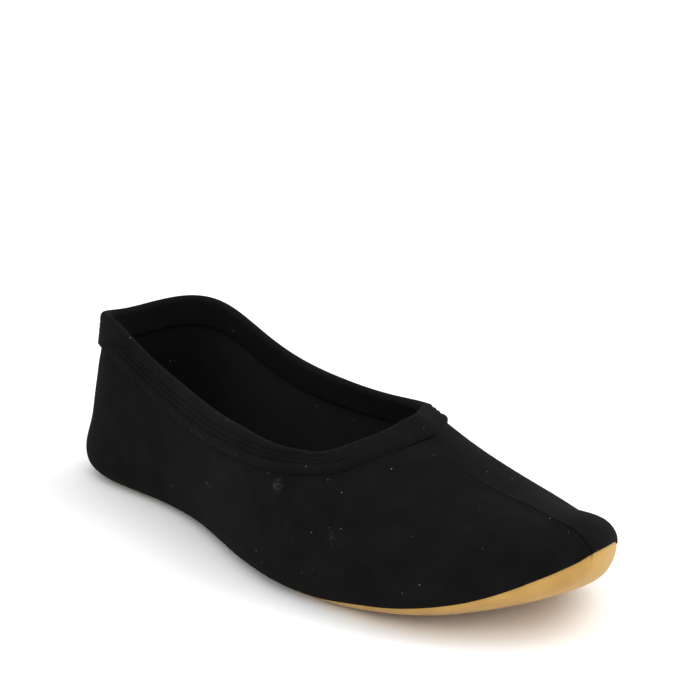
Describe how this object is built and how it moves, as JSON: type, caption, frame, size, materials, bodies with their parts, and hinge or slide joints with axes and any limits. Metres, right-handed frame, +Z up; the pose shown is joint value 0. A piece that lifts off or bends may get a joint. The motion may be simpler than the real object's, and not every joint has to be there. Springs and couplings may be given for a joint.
{
  "type": "gymnastics slipper",
  "caption": "Low-cut soft gymnastics slipper, right shoe: jersey upper with a raised seam over the toe, elasticated collar band and a thin pliable sole that curls up round the toe.",
  "frame": {"origin": "middle of the slipper's box, on the floor it stands on", "axes": "+X to the toe, +Y to the inner (big toe) side, +Z up"},
  "size_m": [0.2406, 0.0864, 0.061],
  "materials": {
    "upper": "black cotton jersey, matt with a faint sheen",
    "collar_band": "black folded jersey casing, stitched in rows",
    "sole": "honey-coloured suede, fine grain, matt",
    "insole": "undyed woven cotton"
  },
  "bodies": {
    "root": {"upper": "upper", "collar_band": "collar_band", "sole": "sole", "insole": "insole"}
  },
  "joints": []
}
